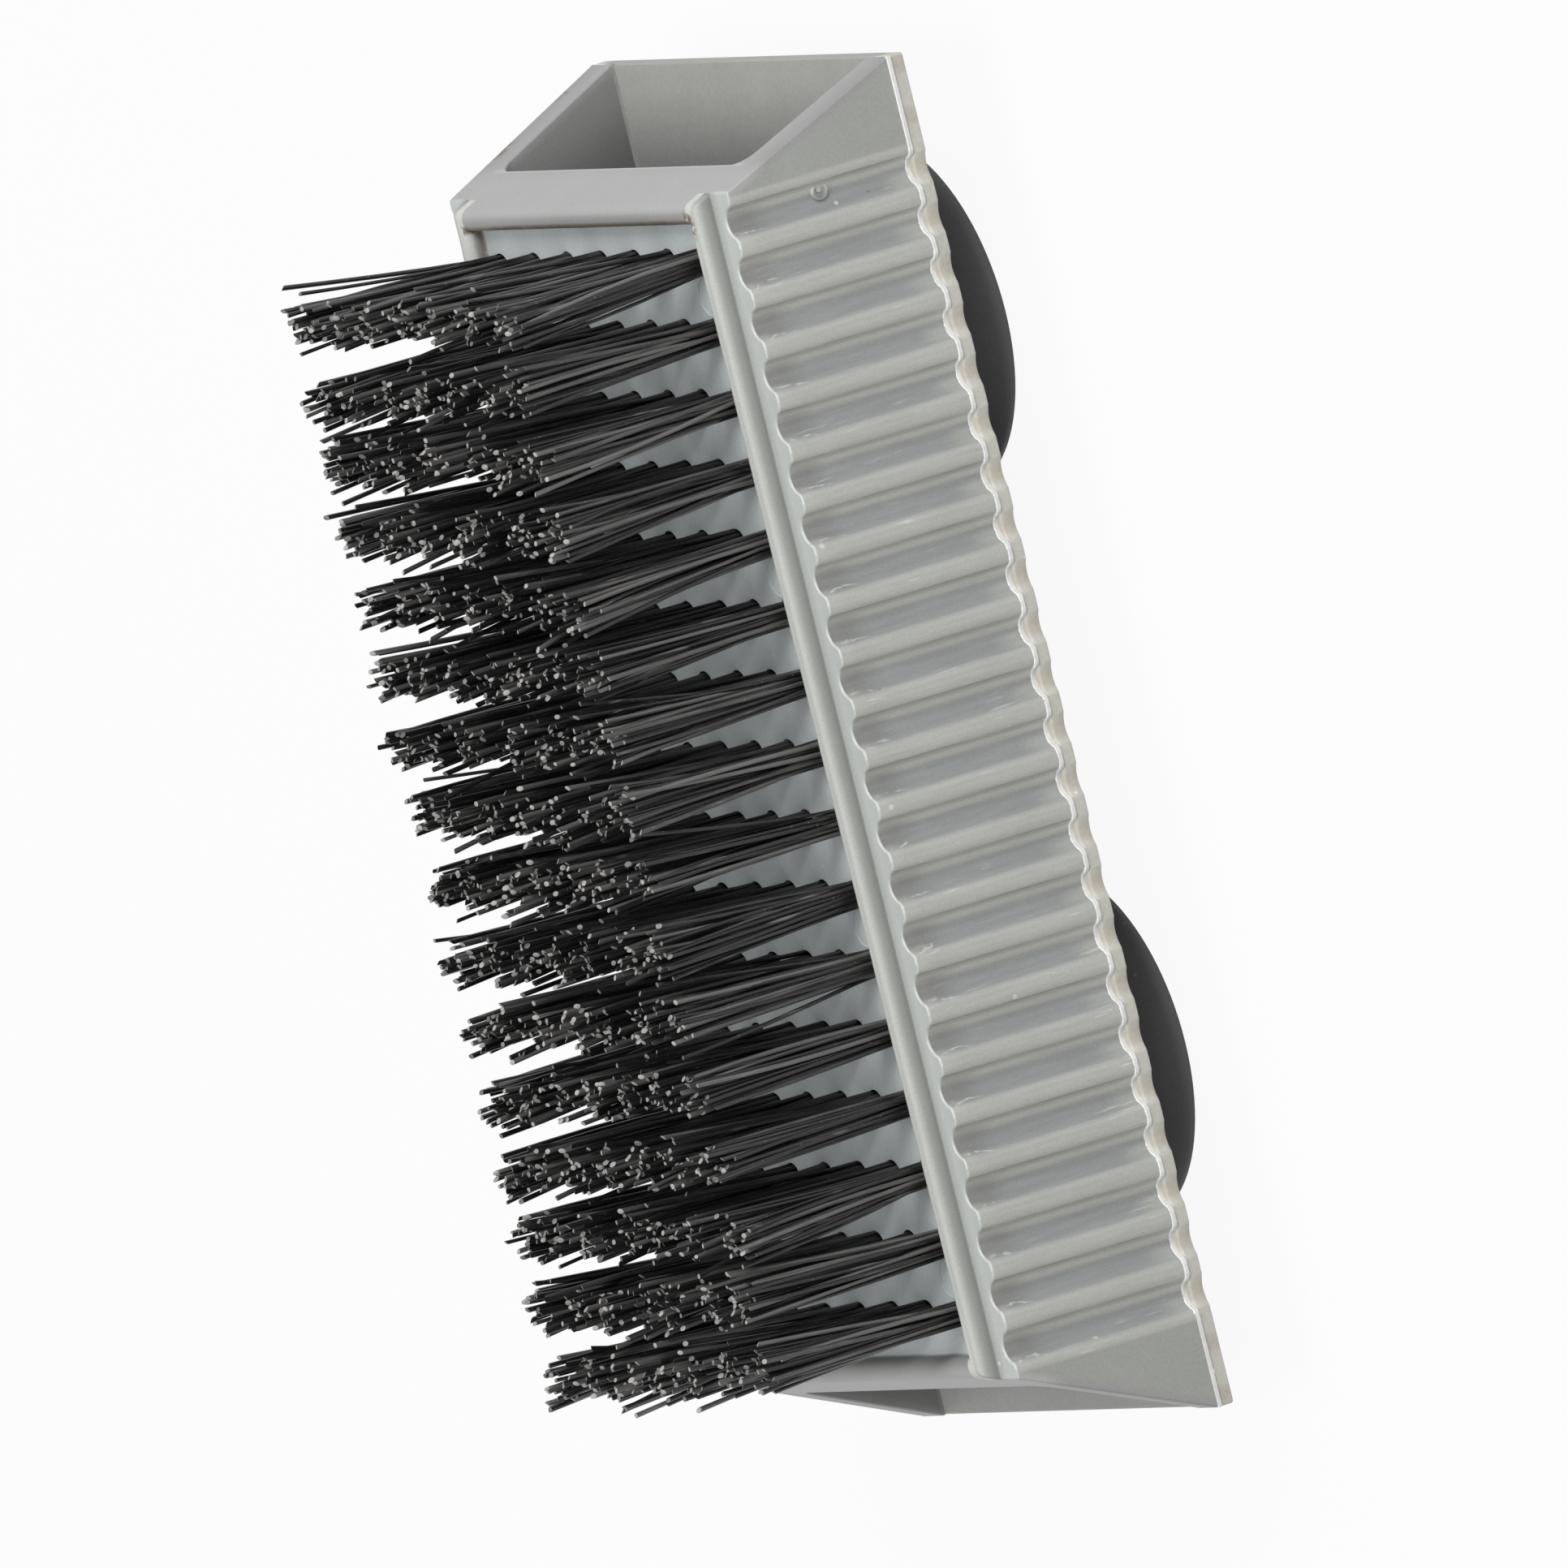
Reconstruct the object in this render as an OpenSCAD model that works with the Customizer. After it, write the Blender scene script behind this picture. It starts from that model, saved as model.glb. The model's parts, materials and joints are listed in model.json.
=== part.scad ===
// Groove brush for golf clubs. A moulded grip block, open right through lengthwise, carries rows
// of nylon tufts. A flat back plate is glued to it, and two suction cups plug into that plate.
// +X runs along the block and +Z points up through the bristles, so the brush stands on its cups.
// The origin is the centre of the base, in the plane of the cup rims.

/* [Grip block] */
// Length at the back, where the slanted ends meet the back plate
back_l = 122.4; // [118:0.1:130]
// Length over the rim, on the bristle side
front_l = 106; // [104:0.1:112]
// Width across the flank crests at the back
back_w = 53; // [52:0.1:56]
// Width across the flank crests at the ledge
ledge_w = 49.9; // [48:0.1:51]
// Height of the fluted flanks
flank_h = 17.8; // [14:0.1:24]
// Thickness of the side walls, behind the flank crests
side_wall_t = 3.5; // [2.6:0.1:4.5]
// Thickness of the plate that holds the tufts
tuft_plate_t = 4; // [3.6:0.1:6]
// Radius of the inside corners between that plate and the side walls
inner_r = 2; // [1:0.1:3]

/* [Rim] */
// Width over the rim
rim_w = 43.9; // [43:0.1:46]
// Height of the rim above the ledge
rim_h = 1.85; // [1.8:0.05:4]
// Thickness of the rim along the sides
rim_side_t = 2; // [1:0.1:2.2]
// Thickness of the rim at the ends, at its top
rim_end_t = 1.7; // [1:0.1:2]
// Depth of the recess inside the rim
recess_d = 1.7; // [0.8:0.1:1.9]

/* [Flutes] */
// Number of finger flutes in each flank
flute_n = 23; // [15:1:23]
// Distance from flute to flute
flute_pitch = 4.63; // [4:0.01:4.7]
// Width of the round bottom of one flute
flute_w = 2.8; // [2:0.02:3.2]
// Depth of one flute
flute_d = 1.4; // [0.6:0.05:1.5]
// Depth of the shallow scallops in the edges of the back plate, in line with the flutes
plate_flute_d = 0.45; // [0.2:0.05:0.8]
// Radius that rounds the crests between the flutes
crest_r = 0.8; // [0.1:0.05:0.9]

/* [Tufts] */
// Number of tuft rows along the block
row_n = 16; // [8:1:16]
// Number of tufts in each row
tufts_per_row = 7; // [3:1:7]
// Distance from row to row
row_pitch = 6.35; // [5.6:0.05:6.4]
// Distance from tuft to tuft in a row
tuft_pitch = 6; // [5.4:0.05:6.1]
// Diameter of the blind holes
hole_d = 2.6; // [2:0.05:3]
// Depth of the blind holes
hole_depth = 3; // [2.4:0.1:3.4]
// Height of the bristle tips above the recess floor
bristle_h = 22.5; // [12:0.1:32]
// Diameter of a splayed tuft at its tips
tip_d = 4.8; // [3:0.1:5.3]
// Gap between a packed tuft and the wall of its hole
tuft_clear = 0.04; // [0.02:0.01:0.1]

/* [Staples] */
// Length of a staple, across its hole and into both walls
staple_l = 3.4; // [3.2:0.05:4]
// Height of a staple
staple_h = 1.3; // [0.8:0.05:1.6]
// Thickness of a staple
staple_t = 0.45; // [0.3:0.05:0.6]
// Thickness of the bristle fold under a staple
fold_t = 0.6; // [0.4:0.05:0.7]

/* [Back plate and glue] */
// Thickness of the back plate
plate_t = 1.4; // [1.2:0.1:3]
// Thickness of the glue seam
glue_t = 0.3; // [0.2:0.05:0.8]
// How far the glue stands proud of the flanks
glue_proud = 0.2; // [0.1:0.05:0.4]

/* [Suction cups] */
// Diameter of a cup
cup_d = 31.75; // [28:0.05:34]
// Distance between the two cup centres
cup_spacing = 66.2; // [40:0.1:80]
// How far the pair of cups sits off the middle, along the block
cup_shift = 2.1; // [0:0.1:4]
// Height of a cup, from its rim to the back plate
cup_h = 9.6; // [8.5:0.1:14]
// Height of the bell
bell_h = 7.2; // [6:0.1:8]
// Thickness of the bell's edge
edge_t = 0.6; // [0.4:0.1:1]
// Width of the flat lip that seals on the wall
lip_w = 1; // [0.6:0.1:2]
// Depth of the hollow inside the bell
hollow_h = 5.2; // [4.8:0.1:5.6]
// Diameter of the collar that seats on the back plate
collar_d = 13; // [11:0.5:16]
// Diameter of the neck in the back plate
neck_d = 8; // [5:0.1:9.5]
// Gap round the neck
neck_clear = 0.05; // [0.02:0.01:0.1]
// Play between the back plate and the cup's head
head_play = 0.1; // [0.05:0.05:0.3]
// Diameter of the head inside the block
head_d = 12; // [10.5:0.5:14]
// Height of the head
head_h = 3; // [2:0.1:4]

/* [Hidden] */
function row_name(prefix, i) = str(prefix, i < 10 ? "0" : "", i);

// Levels above the cup rims
plate_z = cup_h;
glue_z = plate_z + plate_t;
block_z = glue_z + glue_t;
ledge_z = block_z + flank_h;
rim_z = ledge_z + rim_h;
recess_z = rim_z - recess_d;
ceiling_z = recess_z - tuft_plate_t;
hole_z = recess_z - hole_depth;
staple_z = hole_z + fold_t;

// The flank leans in by this angle towards the ledge
flank_tilt = atan2((back_w - ledge_w) / 2, flank_h);
// Half width of the channel at a height, inside the leaning side walls
function channel_y(z) = back_w / 2 - side_wall_t / cos(flank_tilt) - (z - block_z) * tan(flank_tilt);
// Radius of the round bottom of a flute of that depth
function rod_r(depth) = (flute_w * flute_w / 4 + depth * depth) / (2 * depth);
tuft_r = hole_d / 2 - tuft_clear;
eps = 0.01;
past = 5;

plastic_grey = [0.62, 0.63, 0.61];
plate_grey = [0.66, 0.65, 0.62];
glue_white = [0.88, 0.89, 0.86];
nylon_black = [0.06, 0.06, 0.065];
steel = [0.72, 0.73, 0.75];
rubber_black = [0.13, 0.13, 0.14];

// Where the tufts stand
function row_x(i) = ((row_n + 1) / 2 - i) * row_pitch;
function tuft_y(j) = (j - (tufts_per_row + 1) / 2) * tuft_pitch;
// Where the cups stand, with side -1 or 1
function cup_x(side) = cup_shift + side * cup_spacing / 2;

// Keeps what lies between the two slanted ends
module between_ends() {
    intersection() {
        children();
        rotate([90, 0, 0])
            linear_extrude(height = back_w + 2 * past, center = true)
                polygon([
                    [-back_l / 2, block_z],
                    [back_l / 2, block_z],
                    [front_l / 2, rim_z],
                    [-front_l / 2, rim_z]
                ]);
    }
}

// Runs a section of Y and Z along X
module along_x() {
    rotate([90, 0, 90])
        linear_extrude(height = back_l + 2 * past, center = true)
            children();
}

// Section of one flute, a round bottom that meets rounded crests. It is narrower by a skin of that
// thickness, for what stands proud in it.
module flute_section(depth, skin) {
    r = rod_r(depth);
    bottom_y = r - depth;
    crest_y = -crest_r - eps;
    crest_x = sqrt(pow(r + crest_r - eps, 2) - pow(bottom_y - crest_y, 2));
    translate([0, bottom_y])
        circle(r = r - skin, $fn = 48);
    difference() {
        polygon([
            [-crest_x, past],
            [-crest_x, crest_y],
            [0, bottom_y],
            [crest_x, crest_y],
            [crest_x, past]
        ]);
        for (end = [-1, 1])
            translate([end * crest_x, crest_y])
                circle(r = crest_r + skin, $fn = 32);
    }
}

// All the flutes on both sides, leaning by that angle
module flutes(depth, tilt, skin) {
    for (side = [0, 1], k = [0:flute_n - 1])
        mirror([0, side, 0])
            translate([(k - (flute_n - 1) / 2) * flute_pitch, back_w / 2, block_z])
                rotate([tilt, 0, 0])
                    translate([0, 0, -past])
                        linear_extrude(height = flank_h + 2 * past)
                            flute_section(depth, skin);
}

// Section of the open channel, with rounded corners at its ceiling
module channel_section() {
    corner_y = channel_y(ceiling_z - inner_r) - inner_r / cos(flank_tilt);
    corner_z = ceiling_z - inner_r;
    difference() {
        polygon([
            [-channel_y(block_z - past), block_z - past],
            [channel_y(block_z - past), block_z - past],
            [channel_y(ceiling_z), ceiling_z],
            [-channel_y(ceiling_z), ceiling_z]
        ]);
        for (side = [0, 1])
            mirror([side, 0])
                difference() {
                    polygon([
                        [corner_y, corner_z],
                        [corner_y + inner_r * cos(flank_tilt), corner_z + inner_r * sin(flank_tilt)],
                        [channel_y(ceiling_z) + eps, ceiling_z + eps],
                        [corner_y, ceiling_z + eps]
                    ]);
                    translate([corner_y, corner_z])
                        circle(r = inner_r, $fn = 48);
                }
    }
}

module tuft_holes() {
    for (i = [1:row_n], j = [1:tufts_per_row])
        translate([row_x(i), tuft_y(j), hole_z])
            cylinder(h = hole_depth + recess_d + past, d = hole_d, $fn = 32);
}

// The staples of one row, as blocks set across their holes
module staple_blocks(i) {
    for (j = [1:tufts_per_row])
        translate([row_x(i) - staple_t / 2, tuft_y(j) - staple_l / 2, staple_z])
            cube([staple_t, staple_l, staple_h]);
}

module brush_block() {
    color(plastic_grey)
        difference() {
            between_ends()
                along_x()
                    polygon([
                        [-back_w / 2, block_z],
                        [back_w / 2, block_z],
                        [ledge_w / 2, ledge_z],
                        [rim_w / 2, ledge_z],
                        [rim_w / 2, rim_z],
                        [-rim_w / 2, rim_z],
                        [-rim_w / 2, ledge_z],
                        [-ledge_w / 2, ledge_z]
                    ]);
            along_x() channel_section();
            flutes(flute_d, flank_tilt, 0);
            translate([-front_l / 2 + rim_end_t, -rim_w / 2 + rim_side_t, recess_z])
                cube([front_l - 2 * rim_end_t, rim_w - 2 * rim_side_t, recess_d + past]);
            tuft_holes();
            for (i = [1:row_n]) staple_blocks(i);
        }
}

module back_plate() {
    color(plate_grey)
        difference() {
            translate([-back_l / 2, -back_w / 2, plate_z])
                cube([back_l, back_w, plate_t]);
            flutes(plate_flute_d, 0, 0);
            for (side = [-1, 1])
                translate([cup_x(side), 0, plate_z - past])
                    cylinder(h = plate_t + 2 * past, r = neck_d / 2 + neck_clear, $fn = 64);
        }
}

// Glue between the side walls and the plate, which follows the flutes and stands a little proud
module glue_seam() {
    inner_y = channel_y(block_z);
    color(glue_white)
        difference() {
            for (side = [0, 1])
                mirror([0, side, 0])
                    translate([-back_l / 2, inner_y, glue_z])
                        cube([back_l, back_w / 2 + glue_proud - inner_y, glue_t]);
            flutes(flute_d, flank_tilt, glue_proud);
        }
}

// One tuft, packed in its hole round its staple and splayed above the recess floor
module tuft() {
    cylinder(h = hole_depth, r = tuft_r, $fn = 32);
    translate([0, 0, hole_depth])
        cylinder(h = bristle_h, r1 = tuft_r, r2 = tip_d / 2, $fn = 32);
}

module tuft_row(i) {
    color(nylon_black)
        difference() {
            for (j = [1:tufts_per_row])
                translate([row_x(i), tuft_y(j), hole_z]) tuft();
            staple_blocks(i);
        }
}

module staple_row(i) {
    color(steel) staple_blocks(i);
}

// Bell, collar, neck and head in one piece of rubber, turned about its own axis
module suction_cup(side) {
    cup_r = cup_d / 2;
    collar_r = collar_d / 2;
    neck_r = neck_d / 2;
    head_r = head_d / 2;
    head_z = glue_z + head_play;
    hollow_r = cup_r - lip_w;
    steps = 8;
    bell_out = [for (k = [0:steps])
        let (t = k / steps)
            [cup_r + (collar_r - cup_r) * t, edge_t + (bell_h - edge_t) * (1 - pow(1 - t, 1.3))]];
    bell_in = [for (k = [0:steps - 1])
        let (t = k / steps)
            [hollow_r * t, hollow_h * (1 - t * t)]];
    color(rubber_black)
        translate([cup_x(side), 0, 0])
            rotate_extrude($fn = 96)
                polygon(concat(
                    bell_in,
                    [[hollow_r, 0], [cup_r, 0]],
                    bell_out,
                    [
                        [collar_r, cup_h],
                        [neck_r, cup_h],
                        [neck_r, head_z],
                        [head_r, head_z],
                        [head_r, head_z + head_h / 3],
                        [neck_r, head_z + head_h],
                        [0, head_z + head_h]
                    ]
                ));
}

brush_block();
back_plate();
glue_seam();
for (i = [1:row_n]) {
    tuft_row(i);
    staple_row(i);
}
suction_cup(-1);  // suction_cup_1
suction_cup(1);  // suction_cup_2
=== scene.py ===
"""The looks of a groove brush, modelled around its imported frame.

A grip block with fluted flanks carries rows of nylon tufts. A back plate is glued to it, and two
suction cups plug into that plate. +X runs along the block and +Z points up through the bristles.
"""

import json
import math
import random
from types import SimpleNamespace

import bmesh
import bpy
import numpy as np
from bpy.props import FloatProperty, FloatVectorProperty, IntProperty, PointerProperty
from bpy.types import Operator, Panel, PropertyGroup
from mathutils import Matrix, Vector

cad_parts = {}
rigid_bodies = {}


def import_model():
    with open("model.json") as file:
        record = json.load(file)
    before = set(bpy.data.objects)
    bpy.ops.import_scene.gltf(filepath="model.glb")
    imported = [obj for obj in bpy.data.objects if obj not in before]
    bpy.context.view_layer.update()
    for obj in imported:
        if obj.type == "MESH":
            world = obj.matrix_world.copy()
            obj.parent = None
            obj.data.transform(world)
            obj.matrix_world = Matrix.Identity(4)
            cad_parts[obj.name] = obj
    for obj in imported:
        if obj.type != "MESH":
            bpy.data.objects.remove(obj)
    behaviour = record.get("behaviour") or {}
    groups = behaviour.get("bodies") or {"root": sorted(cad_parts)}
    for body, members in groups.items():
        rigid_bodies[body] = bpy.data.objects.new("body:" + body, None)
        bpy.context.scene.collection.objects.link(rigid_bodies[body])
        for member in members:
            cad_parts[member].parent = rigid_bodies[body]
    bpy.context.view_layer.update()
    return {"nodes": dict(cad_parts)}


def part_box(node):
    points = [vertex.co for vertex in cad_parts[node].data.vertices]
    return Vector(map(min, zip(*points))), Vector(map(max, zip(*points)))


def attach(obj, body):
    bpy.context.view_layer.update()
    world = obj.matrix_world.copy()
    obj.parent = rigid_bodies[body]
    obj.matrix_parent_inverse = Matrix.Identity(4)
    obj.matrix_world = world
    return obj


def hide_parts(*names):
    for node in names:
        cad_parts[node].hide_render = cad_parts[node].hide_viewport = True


bl_info = {
    "name": "Groove Brush",
    "version": (1, 0, 0),
    "blender": (4, 5, 0),
    "location": "View3D > Sidebar > Brush",
    "description": "Models the looks of a groove brush around its packed frame",
    "category": "Object",
}

for left_over in list(bpy.data.objects):
    bpy.data.objects.remove(left_over)
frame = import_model()

MM = 0.001
NEAR = 0.02 * MM
BLOCK_LOW, BLOCK_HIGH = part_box("brush_block")
PLATE_LOW, PLATE_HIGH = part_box("back_plate")
SEAM_Z = BLOCK_LOW.z
RIM_Z = BLOCK_HIGH.z
LEDGE_Z = RIM_Z - 1.85 * MM
FLOOR_Z = RIM_Z - 1.7 * MM
CEILING_Z = LEDGE_Z - 4 * MM
BACK_HALF_W = BLOCK_HIGH.y
LEDGE_HALF_W = 24.95 * MM
RIM_HALF_W = 21.95 * MM
RECESS_HALF_W = 19.95 * MM
RECESS_HALF_L = 51.3 * MM
END_LEAN = 8.2 / 19.65  # run over rise of the slanted ends
FLANK_LEAN = (BACK_HALF_W - LEDGE_HALF_W) / (LEDGE_Z - SEAM_Z)
FLUTE_PITCH = 4.63 * MM
FLUTES = 23
FLUTED_HALF_L = FLUTES / 2 * FLUTE_PITCH
FLUTE_BLUR = 0.05 * FLUTE_PITCH
FLUTE_BOUNDS = [(k - FLUTES / 2) * FLUTE_PITCH for k in range(FLUTES + 1)]
SEAM_INNER_Y = 24.2 * MM
TUFT_ROWS = sorted(n for n in frame["nodes"] if n.startswith("tuft_row_"))
STAPLE_ROWS = sorted(n for n in frame["nodes"] if n.startswith("staple_row_"))
ROW_X = [(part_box(n)[0].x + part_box(n)[1].x) / 2 for n in TUFT_ROWS]
TIP_R = (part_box(TUFT_ROWS[0])[1].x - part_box(TUFT_ROWS[0])[0].x) / 2
TUFTS_PER_ROW = 7
TUFT_PITCH = (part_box(TUFT_ROWS[0])[1].y - TIP_R) * 2 / (TUFTS_PER_ROW - 1)
TIP_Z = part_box(TUFT_ROWS[0])[1].z
HOLE_R = 1.3 * MM
ROOT_Z = FLOOR_Z - 1.2 * MM
FILAMENT_LEVELS = np.array([0.0, 0.16, 0.36, 0.58, 0.80, 1.0])
PIN_GAPS = (0, 4, 9, 14)
GATE_PLACE = (51.4 * MM, -24.2 * MM, 19.9 * MM)
DROP_PLACE = (-58 * MM, -26.3 * MM, PLATE_HIGH.z)
LOOSE_FROM_X = -50 * MM

# Pale grey of dust and scuffs, and of the painted highlight on the flow marks.
DUST_AND_SHEEN = (0.72, 0.72, 0.70)
CHIPPED_NYLON = (0.26, 0.25, 0.235)

CAMERA_AZIMUTH = math.radians(7.57)
CAMERA_ELEVATION = math.radians(28.23)
CAMERA_ROLL = math.radians(-107.41)
VIEW_CENTRE = Vector((1.785, -19.668, 34.722)) * MM
CAMERA_REACH = 10.0
KEY_PLACE = (0.84, -0.78, 0.79)
KEY_WIDTH = 0.55
TOP_PLACE = (0.05, -0.25, 1.35)
TOP_WIDTH = 0.6
LAMP_TARGET = Vector((0, 0, 25 * MM))
FLOOR_WIDTH = 6.0


# ---------------------------------------------------------------- what a user would change


def size(name, description, default, low=0.0):
    """A length in metres."""
    return FloatProperty(name=name, description=description, default=default, min=low,
                         unit="LENGTH", precision=5)


def colour(name, description, default):
    """A colour that is picked."""
    return FloatVectorProperty(name=name, description=description, default=default, size=3,
                               min=0.0, max=1.0, subtype="COLOR")


class BRUSH_PG_block(PropertyGroup):
    rim_round: size("Rim rounding", "Radius along the top of the rim", 0.85 * MM)
    ledge_fillet: size("Ledge fillet", "Radius where the rim rises from the ledge", 0.2 * MM)
    lip_round: size("Lip rounding", "Radius where the flutes run out at the ledge", 0.2 * MM)
    end_rim_round: size("End rim rounding", "Radius along the top of the end rims", 0.6 * MM)
    outer_end_round: size("Outer end rounding", "Radius along the outer edges of the ends",
                          0.25 * MM)
    end_round: size("End rounding", "Radius along the other edges of the ends", 0.2 * MM)
    floor_fillet: size("Floor fillet", "Radius round the recess floor", 0.3 * MM)
    crest: colour("Crest colour", "Warm grey of the crests", (0.430, 0.435, 0.402))
    # Darker than the crest grey of the same plastic: painted shade at the bottom of the flutes.
    bay: colour("Bay colour", "Cool grey at the bottom of the flutes", (0.300, 0.314, 0.314))
    flat: colour("Flat colour", "Grey of the plain ends of the flanks", (0.32, 0.328, 0.308))
    # Paler than the flank's flat grey, though both are one plastic: painted light on the slanted
    # ends.
    end: colour("End colour", "Paler grey of the slanted ends", (0.40, 0.402, 0.398))
    # Darker than the plastic: painted shade inside the channel.
    inside: colour("Inside colour", "Grey of the walls of the channel", (0.270, 0.272, 0.266))
    # Painted highlight: the rim's top is paler than the plastic.
    rim: colour("Rim colour", "Pale grey of the rim's rubbed top", (0.50, 0.51, 0.48))
    level: colour("Ledge colour", "Cooler grey of the ledge", (0.48, 0.505, 0.49))
    # Paler than the plastic: painted light against the bristles' shadow on the recess floor.
    recess: colour("Recess colour", "Cool pale grey of the recess floor", (0.545, 0.585, 0.59))
    # Painted highlight along the lips; also the pale of the streaks along the flutes.
    lip: colour("Lip colour", "Near white of the rubbed lips", (0.63, 0.635, 0.61))
    # Also the colour of the painted shade round the recess's edge.
    grime_and_shade: colour("Grime colour", "Brown dirt in the corners", (0.12, 0.075, 0.045))


class BRUSH_PG_plate(PropertyGroup):
    edge_round: size("Edge rounding", "Radius along the plate's edges", 0.25 * MM)
    plate: colour("Plate colour", "Grey of the back plate", (0.35, 0.355, 0.335))
    # A paler beige along the plate's edge.
    brightened: colour("Edge colour", "Pale beige of the plate's rubbed edge", (0.56, 0.55, 0.49))
    # Brown painted shade on the plate's edge between the flutes.
    brown: colour("Edge stain", "Brown of the plate's edge between the flutes", (0.40, 0.32, 0.25))
    glue: colour("Glue colour", "Off-white of the dried glue", (0.90, 0.91, 0.89))
    bead_r: size("Bead radius", "Radius of the glue bead along the seam", 0.115 * MM)


class BRUSH_PG_bristles(PropertyGroup):
    filament_d: size("Filament diameter", "Thickness of one nylon filament", 0.42 * MM)
    per_tuft: IntProperty(name="Filaments", description="Filaments in one tuft", default=32, min=7)
    splay: FloatProperty(name="Splay", description="How much wider a tuft is at its tips",
                         default=0.85, min=0.0)
    lean: size("Lean", "How far a tuft's tips wander", 0.35 * MM)
    stray: FloatProperty(name="Strays", description="Share of filaments that stick out",
                         default=0.03, min=0.0, max=0.5, subtype="FACTOR")
    seed: IntProperty(name="Seed", description="Start of the random draws", default=11)
    nylon: colour("Nylon colour", "Black of the filaments", (0.013, 0.012, 0.012))
    # A painted sheen: the lighter grey given at random to some filaments.
    sheen_grey: colour("Faded colour", "Lighter grey of the rubbed filaments", (0.15, 0.146, 0.142))
    cut_end: colour("Cut end colour", "Grey of the cut ends", (0.40, 0.395, 0.38))


class BRUSH_PG_cups(PropertyGroup):
    # Lighter than the rubber itself: painted light against the shade that the block casts on the
    # cups.
    rubber: colour("Rubber colour", "Charcoal of the suction cups", (0.138, 0.138, 0.141))
    lip_round: size("Lip rounding", "Radius along the edge of a cup", 0.14 * MM)


class BRUSH_PG_stage(PropertyGroup):
    across: size("Width in view", "Width that the camera sees at the brush", 137.02 * MM)
    away: size("Distance", "How far the camera stands from the brush", 1.0)
    floor: colour("Floor colour", "White of the floor", (0.70, 0.70, 0.70))
    key: FloatProperty(name="Key light", description="Power of the key light in watts",
                       default=9.7, min=0.0, unit="POWER")
    top: FloatProperty(name="Top light", description="Power of the overhead light in watts",
                       default=7.9, min=0.0, unit="POWER")
    sky: FloatProperty(name="Sky", description="Brightness of the world", default=0.34, min=0.0)


# ---------------------------------------------------------------- modelling by hand, in code


def leave_edit():
    if bpy.context.object and bpy.context.object.mode != "OBJECT":
        bpy.ops.object.mode_set(mode="OBJECT")


def start_empty():
    """Leaves nothing selected, for an operator that adds a piece."""
    bpy.ops.object.select_all(action="DESELECT")


def pick(piece):
    """Selects only this piece and makes it active."""
    leave_edit()
    start_empty()
    piece.select_set(True)
    bpy.context.view_layer.objects.active = piece
    return piece


def fresh(name):
    """Names the piece that an operator has just added."""
    piece = bpy.context.object
    piece.name = name
    piece.data.name = name
    return piece


def edit_all():
    """Enters edit mode with the whole piece selected."""
    bpy.ops.object.mode_set(mode="EDIT")
    bpy.ops.mesh.select_all(action="SELECT")


def choose(piece, kind, rule):
    """In edit mode, selects only the verts, edges or faces that the rule accepts."""
    bpy.context.tool_settings.mesh_select_mode = (kind == "VERT", kind == "EDGE", kind == "FACE")
    bpy.ops.mesh.select_all(action="DESELECT")
    shape = bmesh.from_edit_mesh(piece.data)
    parts = {"VERT": shape.verts, "EDGE": shape.edges, "FACE": shape.faces}[kind]
    for part in parts:
        part.select = bool(rule(part))
    shape.select_flush_mode()
    bmesh.update_edit_mesh(piece.data)


def settle(piece):
    """Moves the piece's place into its mesh, so that its object sits at the origin."""
    pick(piece)
    bpy.ops.object.transform_apply(location=True, rotation=True, scale=True)
    return piece


def smooth(piece, degrees=35):
    """Shades the piece smooth, apart from edges sharper than that."""
    pick(piece)
    bpy.ops.object.shade_smooth_by_angle(angle=math.radians(degrees))
    return piece


def finish_with(piece, kind, **settings):
    """Adds a modifier with those settings and applies it."""
    pick(piece)
    modifier = piece.modifiers.new(kind.title(), kind)
    for name, value in settings.items():
        setattr(modifier, name, value)
    bpy.ops.object.modifier_apply(modifier=modifier.name)
    return piece


def copy_of_node(node, name):
    """A piece that starts as a CAD node's solid, with its loose triangles merged."""
    piece = bpy.data.objects.new(name, frame["nodes"][node].data.copy())
    bpy.context.scene.collection.objects.link(piece)
    pick(piece)
    if piece.data.has_custom_normals:
        bpy.ops.mesh.customdata_custom_splitnormals_clear()
    edit_all()
    bpy.ops.mesh.remove_doubles(threshold=0.002 * MM)
    bpy.ops.mesh.dissolve_limited(angle_limit=math.radians(0.4))
    leave_edit()
    return piece


def slice_across(piece, places):
    """Cuts the piece's faces at those places along X, so that no face is long and ragged."""
    pick(piece)
    bpy.ops.object.mode_set(mode="EDIT")
    for x in places:
        bpy.ops.mesh.select_all(action="SELECT")
        bpy.ops.mesh.bisect(plane_co=(x, 0, 0), plane_no=(1, 0, 0), threshold=0.0005 * MM)
    leave_edit()
    return piece


def slice_ends(piece, levels):
    """Cuts only the slanted end faces at those levels, so that each part of them is convex."""
    pick(piece)
    bpy.ops.object.mode_set(mode="EDIT")
    for z in levels:
        choose(piece, "FACE", lambda f: abs(f.normal.x) > 0.9 and f.normal.z > 0.2)
        bpy.ops.mesh.bisect(plane_co=(0, 0, z), plane_no=(0, 0, 1), threshold=0.0005 * MM)
    leave_edit()
    return piece


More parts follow.
